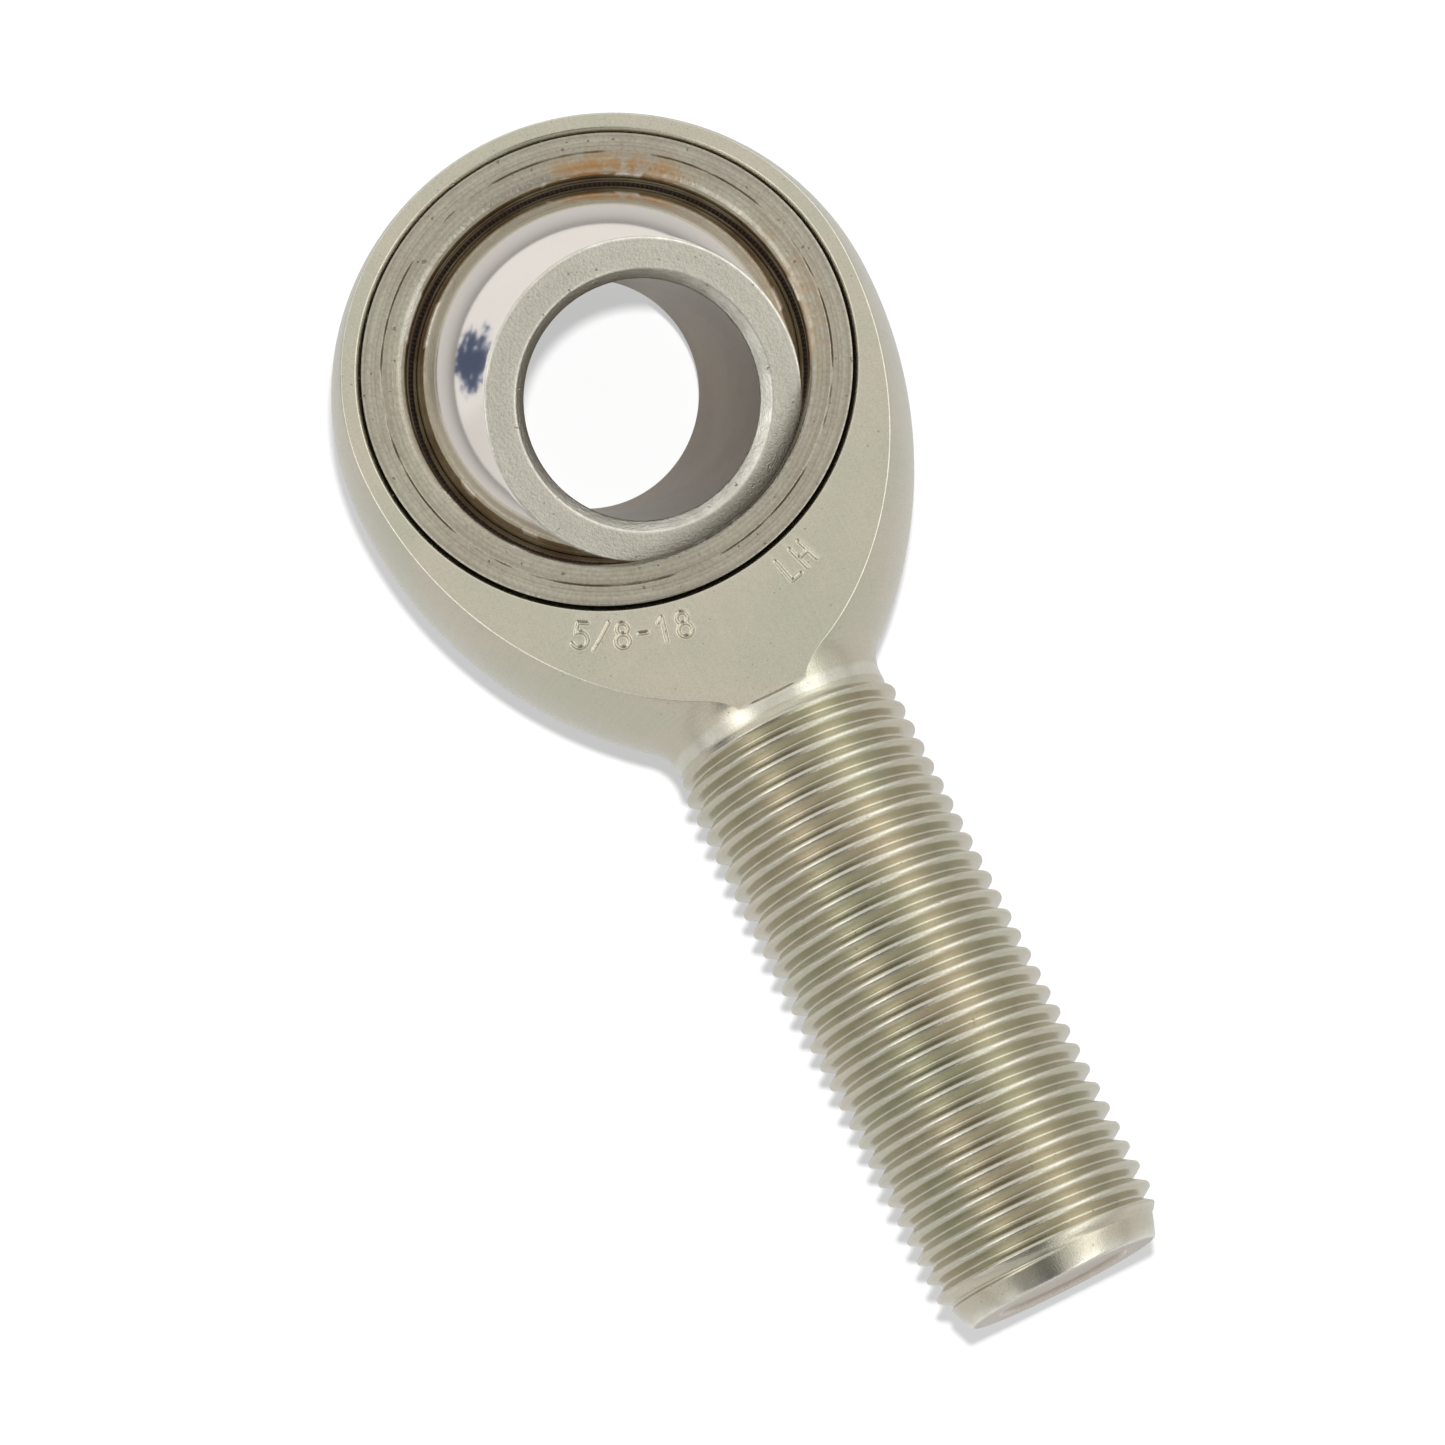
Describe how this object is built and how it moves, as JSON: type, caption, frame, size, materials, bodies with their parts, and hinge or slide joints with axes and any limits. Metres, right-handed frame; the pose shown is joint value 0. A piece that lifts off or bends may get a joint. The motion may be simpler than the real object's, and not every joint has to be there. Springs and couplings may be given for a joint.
{
  "type": "rod end bearing",
  "caption": "Male rod end with a left-hand threaded shank and a lined spherical bearing, whose bored ball swivels to take a pin or bolt at an angle.",
  "frame": {"origin": "centre of the ball, on the race's axis and the shank's axis", "axes": "+X along the shank towards its threaded end, +Z along the race's axis out of the face that the ball's bore leans out of"},
  "size_m": [0.0858, 0.0381, 0.026],
  "materials": {
    "body_steel": "satin zinc-plated alloy steel with a warm tint",
    "race_steel": "turned steel, plated, slightly rough",
    "liner_fabric": "dark brown woven low-friction liner",
    "ball_chrome": "hard chrome, mirror-bright on the sphere and satin on the faces"
  },
  "bodies": {
    "housing": {"threaded_body": "body_steel", "race": "race_steel"},
    "liner": {"liner": "liner_fabric"},
    "ball": {"ball": "ball_chrome"}
  },
  "joints": [
    {"name": "ball_turn", "type": "hinge", "parent": "housing", "child": "liner", "pos_m": [0, 0, 0], "axis": [0, 0, 1], "continuous": true},
    {"name": "ball_tilt", "type": "hinge", "parent": "liner", "child": "ball", "pos_m": [0, 0, 0], "axis": [-0.2957, 0.9553, 0], "range_deg": [-54.1, 5.9]}
  ]
}
